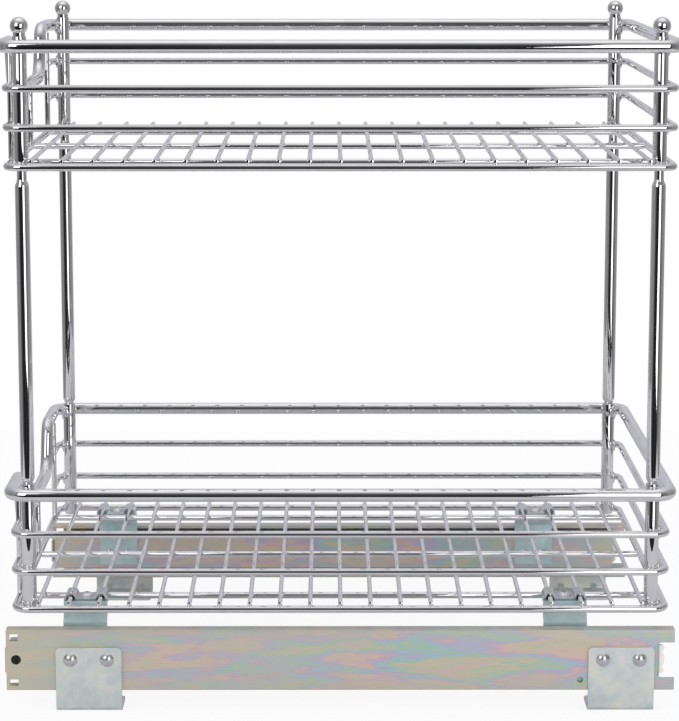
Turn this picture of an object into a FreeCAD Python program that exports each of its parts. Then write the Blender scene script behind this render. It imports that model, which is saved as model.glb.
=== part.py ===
"""Two-tier pull-out cabinet rack: two wire baskets on a pair of ball-bearing slides.

X runs along the slides and the rack pulls out towards +X. Y runs across the rack, Z up.
The origin is on the floor, under the middle of the rack. All lengths are millimetres.
"""
import FreeCAD, Part
import math
import os
import re

import Sketcher
from FreeCAD import Placement, Rotation, Vector

doc = FreeCAD.newDocument("PullOutRack")

# Driving dimensions
DRIVING = {
    # ball-bearing slides
    "slide_length": 457.0,
    "slide_height": 42.6,
    "slide_base": 14.3,
    "width_over_slides": 292.0,
    "member_gauge": 1.2,
    "cabinet_depth": 10.5,
    "cabinet_lip": 0.9,
    "cabinet_round": 1.0,
    "slide_depth": 12.7,
    "drawer_depth": 7.7,
    "running_gap": 0.3,
    "cage_gauge": 0.6,
    "cage_length": 200.0,
    "ball_diameter": 3.2,
    "ball_spacing": 80.0,
    "ball_fit": 0.15,
    "track_depth": 0.4,
    "outer_ball_inset": 5.2,
    "inner_ball_inset": 8.2,
    "rear_setback": 11.5,
    "drawer_rear_setback": 2.0,
    "front_setback": 10.2,
    # cut-outs of the cabinet member
    "notch_length": 11.7,
    "notch_height": 24.8,
    "notch_round": 3.0,
    "end_tab_height": 17.0,
    "end_tab_reach": 0.8,
    "end_tab_depth": 8.8,
    "sight_hole": 6.8,
    "sight_hole_inset": 6.7,
    "lance_length": 5.7,
    "lance_height": 4.8,
    "lance_inset": 5.3,
    "lance_offset": 16.0,
    "screw_hole": 4.2,
    "screw_hole_inset": 64.3,
    "screw_hole_drop": 14.0,
    "bumper_length": 7.0,
    "bumper_height": 15.0,
    "bumper_depth": 3.5,
    "bumper_round": 1.2,
    "stop_length": 3.6,
    "stop_relief": 2.9,
    "stop_depth": 2.2,
    "stop_tongue": 6.0,
    # feet
    "foot_width": 45.0,
    "foot_height": 45.0,
    "foot_reach": 28.0,
    "foot_gauge": 2.0,
    "foot_bend": 2.0,
    "foot_corner": 3.0,
    "rear_foot_inset": 56.5,
    "front_foot_inset": 36.5,
    "foot_hole": 5.5,
    "foot_hole_inset": 16.0,
    "dent_spacing": 26.0,
    "dent_width": 4.0,
    "dent_leg": 5.0,
    "rivet_spacing": 25.0,
    "rivet_level": 36.3,
    "rivet_head": 9.8,
    "rivet_crown": 2.4,
    "rivet_shank": 4.6,
    "rivet_hole": 4.8,
    # basket brackets, clamps and screws
    "bracket_gauge": 1.5,
    "bracket_drop": 9.5,
    "bracket_reach": 22.0,
    "jog_reach": 4.0,
    "jog_height": 5.0,
    "jog_clearance": 2.0,
    "seat_gap": 0.1,
    "clamp_gauge": 1.2,
    "clamp_depth": 17.0,
    "clamp_hump": 4.6,
    "clamp_clearance": 0.3,
    "clamp_lip": 1.235,
    "clamp_screw": 4.0,
    "clamp_screw_hole": 4.4,
    "clamp_screw_length": 9.0,
    "clamp_screw_head": 11.0,
    "clamp_screw_crown": 2.8,
    "pin_spacing": 14.0,
    "pin_head": 6.5,
    "pin_crown": 1.2,
    "pin_shank": 3.6,
    "pin_hole": 3.8,
    # wire baskets
    "post_end_inset": 15.7,
    "post_side_inset": 12.0,
    "tube_diameter": 9.5,
    "tube_bore": 6.9,
    "bore_depth": 22.0,
    "tube_top_rise": 86.5,
    "lower_floor": 70.3,
    "upper_floor": 373.6,
    "ring_spacing": 26.2,
    "rim_rise": 80.4,
    "ring_wire": 5.0,
    "rim_wire": 9.0,
    "ring_corner": 10.0,
    "rim_corner": 12.0,
    "dip_inset": 22.0,
    "dip_lean": 12.0,
    "dip_depth": 36.0,
    "dip_top_bend": 12.0,
    "dip_bottom_bend": 20.0,
    "floor_wire": 3.0,
    "floor_wire_inset": 6.5,
    "floor_wire_end": 0.8,
    "rod_wire": 4.5,
    "rod_inset": 26.0,
    "upright_wire": 4.0,
    "weld_bite": 0.08,
    # posts and finials
    "neck_diameter": 6.5,
    "neck_insert": 16.0,
    "neck_exposed": 7.0,
    "neck_foot": 0.6,
    "neck_taper": 3.0,
    "finial_ball": 12.0,
    "finial_collar": 8.2,
    "finial_rise": 0.9,
    "finial_stem": 9.0,
}

# Counts of repeated pieces
FLOOR_WIRES = 21
BALLS_IN_ROW = 3
RING_NAMES = ("bottom_ring", "middle_ring", "top_ring")
CLAMPED_GAPS = {"rear": 1.5, "front": 17.5}

sheet = doc.addObject("Spreadsheet::Sheet", "Sizes")
for row, (alias, size) in enumerate(DRIVING.items(), start=1):
    sheet.set("A%d" % row, alias)
    sheet.set("B%d" % row, str(size))
    sheet.setAlias("B%d" % row, alias)
doc.recompute()


# Formulas over the sheet
def formula(text):
    """Point every size named in the text at its cell of the sheet."""
    return re.sub(r"[a-z][a-z_]+", lambda m: "Sizes." + m.group() if m.group() in DRIVING else m.group(), text)


def size(text):
    """Number that a formula gives at present."""
    return float(sheet.evalExpression(formula(text)))


def bind(item, **formulas):
    """Bind properties of an object to formulas over the sheet."""
    for name, text in formulas.items():
        item.setExpression(name, formula(text))


def place(item, x="0", y="0", z="0", turn=None):
    """Put an object at a bound position, with an optional fixed turn (axis, degrees)."""
    if turn:
        item.Placement = Placement(Vector(), Rotation(turn[0], turn[1]))
    for axis, text in (("x", x), ("y", y), ("z", z)):
        item.setExpression("Placement.Base." + axis, formula(text))


AXIS_X, AXIS_Y, AXIS_Z = Vector(1, 0, 0), Vector(0, 1, 0), Vector(0, 0, 1)
ALONG_X = (AXIS_Y, 90)
ALONG_Y = (AXIS_X, -90)
HALF_TURN_X = (AXIS_X, 180)
HALF_TURN_Z = (AXIS_Z, 180)

# Heights and places that several pieces share
SLIDE_MIDDLE = "(slide_base + slide_height / 2)"
WEB_FACE = "width_over_slides / 2"
INTERMEDIATE_INSET = "(member_gauge + 2 * running_gap + cage_gauge)"
INNER_CAGE_INSET = "(2 * member_gauge + 3 * running_gap + cage_gauge)"
RACE_GAP = "(ball_diameter + 2 * running_gap - 2 * track_depth)"
CABINET_INNER = "(slide_height / 2 - member_gauge)"
INTERMEDIATE_HALF = "(slide_height / 2 - member_gauge - %s)" % RACE_GAP
INTERMEDIATE_INNER = "(%s - member_gauge)" % INTERMEDIATE_HALF
DRAWER_HALF = "(%s - %s)" % (INTERMEDIATE_INNER, RACE_GAP)
OUTER_BALL_LEVEL = "(%s - %s / 2)" % (CABINET_INNER, RACE_GAP)
INNER_BALL_LEVEL = "(%s - %s / 2)" % (INTERMEDIATE_INNER, RACE_GAP)
MEMBER_LENGTH = "(slide_length - rear_setback - front_setback)"
MEMBER_SHIFT = "((rear_setback - front_setback) / 2)"
MEMBER_FRONT = "(slide_length / 2 - front_setback)"
DRAWER_LENGTH = "(slide_length - drawer_rear_setback - front_setback)"
DRAWER_SHIFT = "((drawer_rear_setback - front_setback) / 2)"
FOOT_X = {"rear": "(rear_foot_inset - slide_length / 2)", "front": "(slide_length / 2 - front_foot_inset)"}
RIVET_OFFSET = "rivet_level - slide_base - slide_height / 2"
POST_X = "(slide_length / 2 - post_end_inset)"
POST_Y = "(width_over_slides / 2 - post_side_inset)"
ROD_Y = "(%s - rod_inset)" % POST_Y
FLOOR_PITCH = "((2 * %s - 2 * floor_wire_inset) / %d)" % (POST_X, FLOOR_WIRES - 1)
FIRST_WIRE = "(floor_wire_inset - %s)" % POST_X
# each bracket sits midway between two floor wires, counted from the first wire
BRACKET_X = {end: "(%s + %s * %g)" % (FIRST_WIRE, FLOOR_PITCH, gap) for end, gap in CLAMPED_GAPS.items()}
BRACKET_WIDTH = "(%s + clamp_hump * 1.5 + 2 * clamp_lip)" % FLOOR_PITCH
SIDES = {"near": -1, "far": 1}
ENDS = {"rear": -1, "front": 1}
TIERS = {"lower": "lower_floor", "upper": "upper_floor"}


# Sketches and features of a body
def new_body(label):
    body = doc.addObject("PartDesign::Body", label)
    body.Label = label
    return body


def new_sketch(body, role, name, offset=None):
    """Empty sketch on one of the body's own planes, shifted along the plane's normal."""
    plane = next(item for item in body.Origin.OriginFeatures if item.Role == role)
    sketch = body.newObject("Sketcher::SketchObject", body.Label + "_" + name)
    sketch.AttachmentSupport = [(plane, "")]
    sketch.MapMode = "FlatFace"
    if offset:
        sketch.setExpression("AttachmentOffset.Base.z", formula(offset))
    return sketch


def pin_point(sketch, geometry, position, x, y):
    """Fix a point of a sketch at bound distances from the sketch's origin."""
    for kind, text, axis in (("DistanceX", x, -2), ("DistanceY", y, -1)):
        distance = size(text)
        if text == "0":
            sketch.addConstraint(Sketcher.Constraint("PointOnObject", geometry, position, axis))
            continue
        rule = Sketcher.Constraint(kind, -1, 1, geometry, position, distance)
        number = sketch.addConstraint(rule)
        sketch.setExpression("Constraints[%d]" % number, formula(text))


def draw_outline(sketch, corners):
    """Closed outline with straight sides through bound corners."""
    points = [Vector(size(x), size(y), 0) for x, y in corners]
    first = sketch.GeometryCount
    count = len(points)
    for i in range(count):
        sketch.addGeometry(Part.LineSegment(points[i], points[(i + 1) % count]), False)
    for i in range(count):
        rule = Sketcher.Constraint("Coincident", first + i, 2, first + (i + 1) % count, 1)
        sketch.addConstraint(rule)
    for i, (x, y) in enumerate(corners):
        pin_point(sketch, first + i, 1, x, y)


def draw_rectangle(sketch, left, low, right, high):
    draw_outline(sketch, [(left, low), (right, low), (right, high), (left, high)])


def draw_circle(sketch, x, y, diameter):
    circle = Part.Circle(Vector(size(x), size(y), 0), AXIS_Z, size(diameter) / 2)
    number = sketch.addGeometry(circle, False)
    pin_point(sketch, number, 3, x, y)
    rule = sketch.addConstraint(Sketcher.Constraint("Diameter", number, size(diameter)))
    sketch.setExpression("Constraints[%d]" % rule, formula(diameter))


def add_pad(body, sketch, length):
    """Pad to both sides of the sketch."""
    pad = body.newObject("PartDesign::Pad", sketch.Label + "_pad")
    pad.Profile = sketch
    pad.SideType = "Symmetric"
    bind(pad, Length=length)
    doc.recompute()
    return pad


def add_pocket(body, sketch, length):
    """Cut to both sides of the sketch."""
    pocket = body.newObject("PartDesign::Pocket", sketch.Label + "_cut")
    pocket.Profile = sketch
    pocket.SideType = "Symmetric"
    bind(pocket, Length=length)
    doc.recompute()
    return pocket


def add_fillet(body, base, radius, chosen):
    """Round the straight edges of a feature for which chosen(middle, direction) is true."""
    names = []
    for number, edge in enumerate(base.Shape.Edges, start=1):
        if not isinstance(edge.Curve, Part.Line):
            continue
        if chosen(edge.CenterOfMass, edge.Curve.Direction):
            names.append("Edge%d" % number)
    fillet = body.newObject("PartDesign::Fillet", base.Label + "_round")
    fillet.Base = (base, names)
    bind(fillet, Radius=radius)
    doc.recompute()
    return fillet


def near_to(number, other):
    return abs(number - other) < 0.01


def add_revolution(body, sketch):
    """Full turn about the vertical axis of the sketch."""
    turned = body.newObject("PartDesign::Revolution", sketch.Label + "_turned")
    turned.Profile = sketch
    turned.ReferenceAxis = (sketch, ["V_Axis"])
    turned.Angle = 360
    doc.recompute()
    return turned


# Primitives and groups
def cylinder(name, diameter, height, turn=None, **where):
    item = doc.addObject("Part::Cylinder", name)
    bind(item, Radius="(%s) / 2" % diameter, Height=height)
    place(item, turn=turn, **where)
    return item


def group(label, items):
    """Node that holds like solids side by side."""
    node = doc.addObject("Part::Compound", label)
    node.Label = label
    node.Links = items
    return node


def cut(name, base, tools):
    """Base less each of the tools."""
    for number, tool in enumerate(tools):
        last = number == len(tools) - 1
        item = doc.addObject("Part::Cut", name if last else "%s_step%d" % (name, number))
        item.Base, item.Tool = base, tool
        base = item
    return base


def fuse(name, items):
    item = doc.addObject("Part::MultiFuse", name)
    item.Shapes = items
    return item


nodes = []


def keep(node):
    nodes.append(node)
    return node


def seat_slide_piece(item, side):
    """A slide's local frame: X along it, Y from its outer face inwards, Z from its middle.

    The far slide is the same product turned half over about its length.
    """
    turn = HALF_TURN_X if side == "far" else None
    place(item, y="%d * %s" % (SIDES[side], WEB_FACE), z=SLIDE_MIDDLE, turn=turn)


# Cabinet member: the slide's outer channel, with ball tracks inside its flanges
def draw_tracks(sketch, inset, level):
    for sign in ("", "-"):
        draw_circle(sketch, inset, sign + level, "ball_diameter + 2 * running_gap")


def cabinet_member(side):
    body = new_body("cabinet_member_" + side)
    half = "slide_height / 2"
    inner = CABINET_INNER
    lip = "(%s - cabinet_lip)" % inner
    lip_inset = "cabinet_depth - member_gauge"
    outline = new_sketch(body, "YZ_Plane", "outline")
    draw_outline(outline, [
        ("0", "-" + half), ("cabinet_depth", "-" + half), ("cabinet_depth", "-" + lip),
        (lip_inset, "-" + lip), (lip_inset, "-" + inner), ("member_gauge", "-" + inner),
        ("member_gauge", inner), (lip_inset, inner), (lip_inset, lip),
        ("cabinet_depth", lip), ("cabinet_depth", half), ("0", half),
    ])
    channel = add_pad(body, outline, "slide_length")
    half_height = size(half)
    add_fillet(body, channel, "cabinet_round",
               lambda at, way: abs(way.x) > 0.9 and near_to(abs(at.z), half_height))

    tracks = new_sketch(body, "YZ_Plane", "tracks")
    draw_tracks(tracks, "outer_ball_inset", OUTER_BALL_LEVEL)
    add_pocket(body, tracks, "slide_length + 2 * end_tab_reach")

    holes = new_sketch(body, "XZ_Plane", "holes")
    rear_end, front_end = "-slide_length / 2", "slide_length / 2"
    draw_circle(holes, rear_end + " + sight_hole_inset", "running_gap", "sight_hole")
    for sign in (-1, 1):
        draw_rectangle(holes, rear_end + " + lance_inset - lance_length / 2",
                       "%d * lance_offset - lance_height / 2" % sign,
                       rear_end + " + lance_inset + lance_length / 2",
                       "%d * lance_offset + lance_height / 2" % sign)
    draw_circle(holes, front_end + " - screw_hole_inset", "-screw_hole_drop", "screw_hole")
    for foot_x in FOOT_X.values():
        for sign in (-1, 1):
            draw_circle(holes, "%s + %d * rivet_spacing / 2" % (foot_x, sign),
                        "(%s) * %d" % (RIVET_OFFSET, 1 if side == "near" else -1), "rivet_hole")
    add_pocket(body, holes, "4 * member_gauge")

    notch = new_sketch(body, "XZ_Plane", "notch")
    notch_end = front_end + " - notch_length"
    draw_rectangle(notch, notch_end, "-notch_height / 2", front_end + " + notch_length", "notch_height / 2")
    notched = add_pocket(body, notch, "4 * member_gauge")
    notch_x = size(notch_end)
    add_fillet(body, notched, "notch_round", lambda at, way: abs(way.y) > 0.9 and near_to(at.x, notch_x))

    tab = new_sketch(body, "YZ_Plane", "end_tab", rear_end)
    draw_rectangle(tab, "0", "-end_tab_height / 2", "end_tab_depth", "end_tab_height / 2")
    add_pad(body, tab, "2 * end_tab_reach")
    seat_slide_piece(body, side)
    return body


for side in SIDES:
    keep(cabinet_member(side))


# Rubber bumpers, trapped between the end tab and the members that roll back against them
def rear_bumper(side):
    block = doc.addObject("Part::Box", "bumper_block_" + side)
    bind(block, Length="bumper_length", Width="bumper_depth", Height="bumper_height")
    place(block, x="-slide_length / 2 + end_tab_reach", y="member_gauge", z="-bumper_height / 2")
    doc.recompute()
    front = size("-slide_length / 2 + end_tab_reach + bumper_length")
    rounded = doc.addObject("Part::Fillet", "rear_bumper_" + side)
    rounded.Base = block
    radius = size("bumper_round")
    rounded.Edges = [(number, radius, radius) for number, edge in enumerate(block.Shape.Edges, start=1)
                     if near_to(edge.CenterOfMass.x, front)]
    seat_slide_piece(rounded, side)
    return rounded


for side in SIDES:
    keep(rear_bumper(side))


# Intermediate member: a channel with ball tracks on both faces of its flanges
def intermediate_member(side):
    body = new_body("intermediate_member_" + side)
    inset, half, inner = INTERMEDIATE_INSET, INTERMEDIATE_HALF, INTERMEDIATE_INNER
    web = "%s + member_gauge" % inset
    outline = new_sketch(body, "YZ_Plane", "outline", MEMBER_SHIFT)
    draw_outline(outline, [
        (inset, "-" + half), ("cabinet_depth", "-" + half), ("cabinet_depth", "-" + inner),
        (web, "-" + inner), (web, inner), ("cabinet_depth", inner),
        ("cabinet_depth", half), (inset, half),
    ])
    channel = add_pad(body, outline, MEMBER_LENGTH)
    tracks = new_sketch(body, "YZ_Plane", "tracks", MEMBER_SHIFT)
    draw_tracks(tracks, "outer_ball_inset", OUTER_BALL_LEVEL)
    draw_tracks(tracks, "inner_ball_inset", INNER_BALL_LEVEL)
    add_pocket(body, tracks, MEMBER_LENGTH)
    seat_slide_piece(body, side)
    return body


# Drawer member: the inner channel that carries the rack, open towards the cabinet side
def drawer_member(side):
    body = new_body("drawer_member_" + side)
    start, half = "slide_depth - drawer_depth", DRAWER_HALF
    inner = "(%s - member_gauge)" % half
    web = "slide_depth - member_gauge"
    outline = new_sketch(body, "YZ_Plane", "outline", DRAWER_SHIFT)
    draw_outline(outline, [
        (start, "-" + half), ("slide_depth", "-" + half), ("slide_depth", half), (start, half),
        (start, inner), (web, inner), (web, "-" + inner), (start, "-" + inner),
    ])
    channel = add_pad(body, outline, DRAWER_LENGTH)
    half_height, depth = size(half), size("slide_depth")
    add_fillet(body, channel, "cabinet_round",
               lambda at, way: abs(way.x) > 0.9 and near_to(abs(at.z), half_height) and near_to(at.y, depth))
    tracks = new_sketch(body, "YZ_Plane", "tracks", DRAWER_SHIFT)
    draw_tracks(tracks, "inner_ball_inset", INNER_BALL_LEVEL)
    add_pocket(body, tracks, DRAWER_LENGTH)
    holes = new_sketch(body, "XZ_Plane", "holes", "-slide_depth")
    for end in ENDS:
        for sign in (-1, 1):
            draw_circle(holes, "%s + %d * pin_spacing / 2" % (BRACKET_X[end], sign), "0", "pin_hole")
    add_pocket(body, holes, "4 * member_gauge")
    seat_slide_piece(body, side)
    return body


for side in SIDES:
    keep(intermediate_member(side))
for side in SIDES:
    keep(drawer_member(side))


# Pale plastic stop with a waved front, clipped to the intermediate member's web
def front_stop(side):
    body = new_body("front_stop_" + side)
    inset = INTERMEDIATE_INSET
    height = "(2 * (%s - stop_relief))" % DRAWER_HALF
    wave = new_sketch(body, "XZ_Plane", "wave", "-(%s + stop_depth / 2)" % inset)
    crest, trough = MEMBER_FRONT + " + stop_length", MEMBER_FRONT + " + stop_length * 0.6"
    corners = [(MEMBER_FRONT, "-%s / 2" % height), (trough, "-%s / 2" % height)]
    for step, edge in enumerate((-0.4, -0.25, -0.1, 0.1, 0.25, 0.4)):
        corners.append((crest if step in (0, 2, 3, 5) else trough, "%s * %g" % (height, edge)))
    corners += [(trough, height + " / 2"), (MEMBER_FRONT, height + " / 2")]
    draw_outline(wave, corners)
    add_pad(body, wave, "stop_depth")
    tongue_depth = "(stop_depth - member_gauge)"
    tongue = new_sketch(body, "XZ_Plane", "tongue", "-(%s + member_gauge + %s / 2)" % (inset, tongue_depth))
    draw_rectangle(tongue, MEMBER_FRONT + " - stop_tongue", "-%s / 4" % height,
                   MEMBER_FRONT + " + stop_length / 2", height + " / 4")
    add_pad(body, tongue, tongue_depth)
    seat_slide_piece(body, side)
    return body


for side in SIDES:
    keep(front_stop(side))


# Ball cages: thin channels with a row of ball seats in each flange, and the balls in them
def ball_places():
    middle = (BALLS_IN_ROW - 1) / 2
    return ["%g * ball_spacing" % (number - middle) for number in range(BALLS_IN_ROW)]


def ball_cage(layer, side, inset, reach, ball_inset, level):
    body = new_body("%s_ball_cage_%s" % (layer, side))
    half = "(%s + cage_gauge / 2)" % level
    inner = "(%s - cage_gauge / 2)" % level
    web = "%s + cage_gauge" % inset
    outline = new_sketch(body, "YZ_Plane", "outline")
    draw_outline(outline, [
        (inset, "-" + half), (reach, "-" + half), (reach, "-" + inner), (web, "-" + inner),
        (web, inner), (reach, inner), (reach, half), (inset, half),
    ])
    add_pad(body, outline, "cage_length")
    seats = new_sketch(body, "XY_Plane", "seats")
    for x in ball_places():
        draw_circle(seats, x, ball_inset, "ball_diameter + 2 * ball_fit")
    add_pocket(body, seats, "2 * slide_height")
    seat_slide_piece(body, side)
    return body


def ball_row(layer, side, ball_inset, level):
    balls = []
    for number, x in enumerate(ball_places()):
        for sign in ("", "-"):
            ball = doc.addObject("Part::Sphere", "ball")
            bind(ball, Radius="ball_diameter / 2")
            place(ball, x=x, y=ball_inset, z=sign + level)
            balls.append(ball)
    node = group("%s_balls_%s" % (layer, side), balls)
    seat_slide_piece(node, side)
    return node


CAGES = {
    "outer": ("member_gauge + running_gap", "outer_ball_inset + ball_diameter / 2 + cage_gauge",
              "outer_ball_inset", OUTER_BALL_LEVEL),
    "inner": (INNER_CAGE_INSET, "inner_ball_inset + ball_diameter / 2 + cage_gauge / 2",
              "inner_ball_inset", INNER_BALL_LEVEL),
}
for side in SIDES:
    for layer, (inset, reach, ball_inset, level) in CAGES.items():
        keep(ball_cage(layer, side, inset, reach, ball_inset, level))
        keep(ball_row(layer, side, ball_inset, level))


# Feet: bent zinc-plated brackets on the outer faces of the cabinet members
def seat_foot_piece(item, side, x):
    """A foot's local frame: Y from the slide's outer face inwards, Z from the floor."""
    turn = HALF_TURN_Z if side == "far" else None
    place(item, x=x, y="%d * %s" % (SIDES[side], WEB_FACE), turn=turn)


def foot(side, end):
    body = new_body("foot_%s_%s" % (side, end))
    flange = "foot_reach - foot_gauge"
    outline = new_sketch(body, "YZ_Plane", "outline")
    draw_outline(outline, [
        ("-foot_gauge", "0"), (flange, "0"), (flange, "foot_gauge"), ("0", "foot_gauge"),
        ("0", "foot_height"), ("-foot_gauge", "foot_height"),
    ])
    plate = add_pad(body, outline, "foot_width")
    gauge, height, reach = size("foot_gauge"), size("foot_height"), size(flange)
    plate = add_fillet(body, plate, "foot_bend", lambda at, way: near_to(at.y, 0) and near_to(at.z, gauge))
    plate = add_fillet(body, plate, "foot_bend + foot_gauge",
                       lambda at, way: near_to(at.y, -gauge) and near_to(at.z, 0))
    add_fillet(body, plate, "foot_corner",
               lambda at, way: (near_to(at.z, height) and abs(way.y) > 0.9) or
               (near_to(at.y, reach) and abs(way.z) > 0.9))
    for name, sign in (("rear_dent", -1), ("front_dent", 1)):
        middle = "%d * dent_spacing / 2" % sign
        rib = new_sketch(body, "YZ_Plane", name + "_rib", middle)
        draw_outline(rib, [("-foot_gauge / 4", "foot_gauge * 0.75"), ("dent_leg", "foot_gauge * 0.75"),
                           ("-foot_gauge / 4", "foot_gauge + dent_leg")])
        add_pad(body, rib, "dent_width")
        hollow = new_sketch(body, "YZ_Plane", name + "_hollow", middle)
        draw_outline(hollow, [("-2 * foot_gauge", "-foot_gauge"), ("dent_leg / 2", "-foot_gauge"),
                              ("-2 * foot_gauge", "foot_gauge + dent_leg / 2")])
        add_pocket(body, hollow, "dent_width / 2")
    screw = new_sketch(body, "XY_Plane", "screw_hole")
    draw_circle(screw, "0", "foot_hole_inset - foot_gauge", "foot_hole")
    add_pocket(body, screw, "4 * foot_gauge")
    rivets = new_sketch(body, "XZ_Plane", "rivet_holes")
    for sign in (-1, 1):
        draw_circle(rivets, "%d * rivet_spacing / 2" % sign, "rivet_level", "rivet_hole")
    add_pocket(body, rivets, "4 * foot_gauge")
    seat_foot_piece(body, side, FOOT_X[end])
    return body


def domed_fastener(name, head, crown, shank, length):
    """Spherical head on a straight shank; the head's seat is at the origin, the shank along +Z."""
    ball_radius = "((%s) * (%s) / 8 / (%s) + (%s) / 2)" % (head, head, crown, crown)
    ball = doc.addObject("Part::Sphere", name + "_dome")
    bind(ball, Radius=ball_radius)
    place(ball, z="%s - %s" % (ball_radius, crown))
    half_space = doc.addObject("Part::Cylinder", name + "_trim")
    bind(half_space, Radius=ball_radius, Height=crown)
    place(half_space, z="-(%s)" % crown)
    dome = doc.addObject("Part::Common", name + "_head")
    dome.Base, dome.Tool = ball, half_space
    stem = cylinder(name + "_stem", shank, length)
    return fuse(name, [dome, stem])


# Rivets that hold the feet, flush inside the cabinet member
rivets = []
for side, sign in SIDES.items():
    for end in ENDS:
        for half in (-1, 1):
            rivet = domed_fastener("foot_rivet", "rivet_head", "rivet_crown", "rivet_shank",
                                   "foot_gauge + member_gauge")
            place(rivet, x="%s + %d * rivet_spacing / 2" % (FOOT_X[end], half),
                  y="%d * (%s + foot_gauge)" % (sign, WEB_FACE), z="rivet_level",
                  turn=(AXIS_X, 90 * sign))
            rivets.append(rivet)
for side in SIDES:
    for end in ENDS:
        keep(foot(side, end))
keep(group("foot_rivets", rivets))

# Basket brackets: strips riveted to the drawer members, jogged inwards and bent flat under the floor
FLOOR_WIRE_LEVEL = "(%s + ring_wire / 2 + floor_wire / 2 - weld_bite)"
LOWER_WIRE_UNDERSIDE = "(lower_floor + ring_wire / 2 - weld_bite)"
BRACKET_TOP = "(%s - seat_gap)" % LOWER_WIRE_UNDERSIDE
BRACKET_FACE = "(width_over_slides / 2 - slide_depth)"
FLANGE_MIDDLE = "((jog_reach + bracket_gauge + bracket_reach) / 2)"


def seat_bracket_piece(item, side, end, inward="0", z="0"):
    """Local Y runs inwards from the drawer member's inner face."""
    turn = HALF_TURN_Z if side == "far" else None
    place(item, x=BRACKET_X[end], y="%d * (%s - %s)" % (SIDES[side], BRACKET_FACE, inward), z=z, turn=turn)


def basket_bracket(side, end):
    body = new_body("basket_bracket_%s_%s" % (side, end))
    foot_z = SLIDE_MIDDLE + " - bracket_drop"
    jog_low = "slide_base + slide_height + jog_clearance"
    jog_high = jog_low + " + jog_height"
    bend = "bracket_gauge * 0.35"
    outline = new_sketch(body, "YZ_Plane", "outline")
    draw_outline(outline, [
        ("0", foot_z), ("bracket_gauge", foot_z), ("bracket_gauge", "%s - %s" % (jog_low, bend)),
        ("jog_reach + bracket_gauge", "%s - %s" % (jog_high, bend)),
        ("jog_reach + bracket_gauge", BRACKET_TOP + " - bracket_gauge"),
        ("bracket_reach", BRACKET_TOP + " - bracket_gauge"), ("bracket_reach", BRACKET_TOP),
        ("jog_reach", BRACKET_TOP), ("jog_reach", jog_high), ("0", jog_low),
    ])
    strip = add_pad(body, outline, BRACKET_WIDTH)
    top, reach = size(BRACKET_TOP), size("jog_reach")
    add_fillet(body, strip, "bracket_gauge * 1.5",
               lambda at, way: near_to(at.z, top) and near_to(at.y, reach))
    holes = new_sketch(body, "XZ_Plane", "pin_holes")
    for sign in (-1, 1):
        draw_circle(holes, "%d * pin_spacing / 2" % sign, SLIDE_MIDDLE, "pin_hole")
    add_pocket(body, holes, "4 * bracket_gauge")
    screw = new_sketch(body, "XY_Plane", "screw_hole", BRACKET_TOP)
    draw_circle(screw, "0", FLANGE_MIDDLE, "clamp_screw_hole")
    add_pocket(body, screw, "4 * bracket_gauge")
    seat_bracket_piece(body, side, end)
    return body


# Clamp plate: a strip with two humps over two floor wires, flat on the bracket between them
def clamp_plate(side, end):
    body = new_body("clamp_plate_%s_%s" % (side, end))
    hump_low = "(seat_gap + floor_wire + clamp_clearance)"
    slope = "(clamp_hump / 4)"
    centre = FLOOR_PITCH + " / 2"
    inside = [(BRACKET_WIDTH + " / 2", "0")]
    outside = [(BRACKET_WIDTH + " / 2", "clamp_gauge")]
    for sign, order in ((1, (1, -1)), (-1, (1, -1))):
        for edge in order:
            low = "%d * %s + %d * (clamp_hump / 2 + %s)" % (sign, centre, edge, slope)
            high = "%d * %s + %d * clamp_hump / 2" % (sign, centre, edge)
            pair = [(low, "0"), (high, hump_low)]
            cover_low = "%s + %d * clamp_gauge * 0.7" % (low, edge)
            cover_high = "%s + %d * clamp_gauge * 0.7" % (high, edge)
            cover = [(cover_low, "clamp_gauge"), (cover_high, hump_low + " + clamp_gauge")]
            inside += pair if edge == 1 else pair[::-1]
            outside += cover if edge == 1 else cover[::-1]
    inside.append(("-%s / 2" % BRACKET_WIDTH, "0"))
    outside.append(("-%s / 2" % BRACKET_WIDTH, "clamp_gauge"))
    outline = new_sketch(body, "XZ_Plane", "outline")
    draw_outline(outline, inside + outside[::-1])
    hat = add_pad(body, outline, "clamp_depth")
    for level, radius in ((hump_low, "clamp_hump * 0.3"), (hump_low + " + clamp_gauge", "clamp_hump * 0.55")):
        height = size(level)
        hat = add_fillet(body, hat, radius, lambda at, way: abs(way.y) > 0.9 and near_to(at.z, height))
    screw = new_sketch(body, "XY_Plane", "screw_hole")
    draw_circle(screw, "0", "0", "clamp_screw_hole")
    add_pocket(body, screw, "4 * clamp_gauge")
    seat_bracket_piece(body, side, end, FLANGE_MIDDLE, BRACKET_TOP)
    return body


bracket_pins, clamp_screws = [], []
for side, sign in SIDES.items():
    for end in ENDS:
        keep(basket_bracket(side, end))
        keep(clamp_plate(side, end))
        for half in (-1, 1):
            pin = domed_fastener("bracket_pin", "pin_head", "pin_crown", "pin_shank",
                                 "bracket_gauge + member_gauge")
            place(pin, x="%s + %d * pin_spacing / 2" % (BRACKET_X[end], half),
                  y="%d * (%s - bracket_gauge)" % (sign, BRACKET_FACE), z=SLIDE_MIDDLE,
                  turn=(AXIS_X, -90 * sign))
            bracket_pins.append(pin)
        screw = domed_fastener("clamp_screw", "clamp_screw_head", "clamp_screw_crown", "clamp_screw",
                               "clamp_screw_length")
        place(screw, x=BRACKET_X[end], y="%d * (%s - %s)" % (sign, BRACKET_FACE, FLANGE_MIDDLE),
              z=BRACKET_TOP + " + clamp_gauge", turn=HALF_TURN_X)
        clamp_screws.append(screw)
keep(group("bracket_rivets", bracket_pins))
keep(group("clamp_screws", clamp_screws))

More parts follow.
